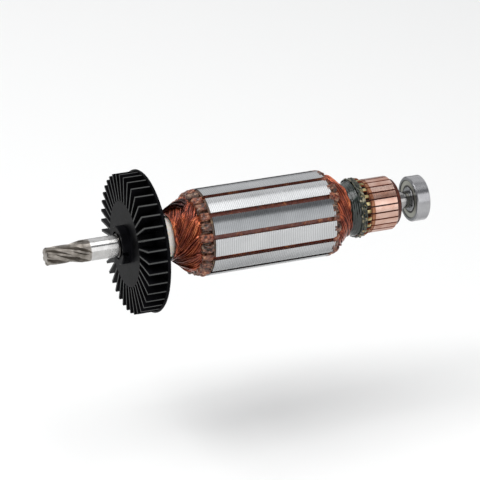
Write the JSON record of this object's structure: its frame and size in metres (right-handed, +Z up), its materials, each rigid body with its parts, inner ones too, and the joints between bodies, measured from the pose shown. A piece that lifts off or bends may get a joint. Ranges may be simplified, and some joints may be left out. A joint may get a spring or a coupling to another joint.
{
  "type": "motor armature",
  "caption": "Armature of a small universal motor: wound slotted core, commutator, cooling fan, helical pinion and rear ball bearing on one steel shaft.",
  "frame": {"origin": "middle of the rear ball bearing, on the shaft's axis", "axes": "+X along the shaft from the pinion towards the rear bearing, +Z up, +Y completes the right-handed set"},
  "size_m": [0.165, 0.0582, 0.0582],
  "materials": {
    "ground_steel": "ground",
    "core_steel": "ground",
    "fan_plastic": "gloss",
    "sleeve_plastic": "satin",
    "insulation_paper": "varnished",
    "wedge_fibre": "varnished",
    "enamelled_wire": "enamelled",
    "banding_resin": "gloss",
    "phenolic_hub": "satin",
    "commutator_copper": "turned",
    "bearing_steel": "ground",
    "ball_steel": "polished",
    "cage_steel": "pressed"
  },
  "bodies": {
    "bearing_housing": {"bearing_outer_ring": "bearing_steel", "bearing_shield_front": "cage_steel", "bearing_shield_rear": "cage_steel"},
    "rotor": {"shaft": "ground_steel", "fan": "fan_plastic", "front_sleeve": "sleeve_plastic", "rear_sleeve": "sleeve_plastic", "lamination_stack": "core_steel", "front_end_insulator": "insulation_paper", "rear_end_insulator": "insulation_paper", "slot_papers": "insulation_paper", "slot_wedges": "wedge_fibre", "coil_01": "enamelled_wire", "coil_02": "enamelled_wire", "coil_03": "enamelled_wire", "coil_04": "enamelled_wire", "coil_05": "enamelled_wire", "coil_06": "enamelled_wire", "coil_07": "enamelled_wire", "coil_08": "enamelled_wire", "coil_09": "enamelled_wire", "coil_10": "enamelled_wire", "coil_11": "enamelled_wire", "coil_12": "enamelled_wire", "coil_leads": "enamelled_wire", "twine_band": "banding_resin", "commutator_hub": "phenolic_hub", "commutator_bar_01": "commutator_copper", "commutator_bar_02": "commutator_copper", "commutator_bar_03": "commutator_copper", "commutator_bar_04": "commutator_copper", "commutator_bar_05": "commutator_copper", "commutator_bar_06": "commutator_copper", "commutator_bar_07": "commutator_copper", "commutator_bar_08": "commutator_copper", "commutator_bar_09": "commutator_copper", "commutator_bar_10": "commutator_copper", "commutator_bar_11": "commutator_copper", "commutator_bar_12": "commutator_copper", "commutator_bar_13": "commutator_copper", "commutator_bar_14": "commutator_copper", "commutator_bar_15": "commutator_copper", "commutator_bar_16": "commutator_copper", "commutator_bar_17": "commutator_copper", "commutator_bar_18": "commutator_copper", "commutator_bar_19": "commutator_copper", "commutator_bar_20": "commutator_copper", "commutator_bar_21": "commutator_copper", "commutator_bar_22": "commutator_copper", "commutator_bar_23": "commutator_copper", "commutator_bar_24": "commutator_copper", "bearing_inner_ring": "bearing_steel"},
    "cage": {"bearing_cage_front": "cage_steel", "bearing_cage_rear": "cage_steel", "bearing_balls": "ball_steel"}
  },
  "joints": [
    {"name": "rotor_spin", "type": "hinge", "parent": "bearing_housing", "child": "rotor", "pos_m": [0, 0, 0], "axis": [1, 0, 0], "continuous": true},
    {"name": "cage_spin", "type": "hinge", "parent": "bearing_housing", "child": "cage", "pos_m": [0, 0, 0], "axis": [1, 0, 0], "continuous": true}
  ],
  "couplings": [
    {"joint": "cage_spin", "follows": "rotor_spin", "ratio": 0.3473}
  ]
}
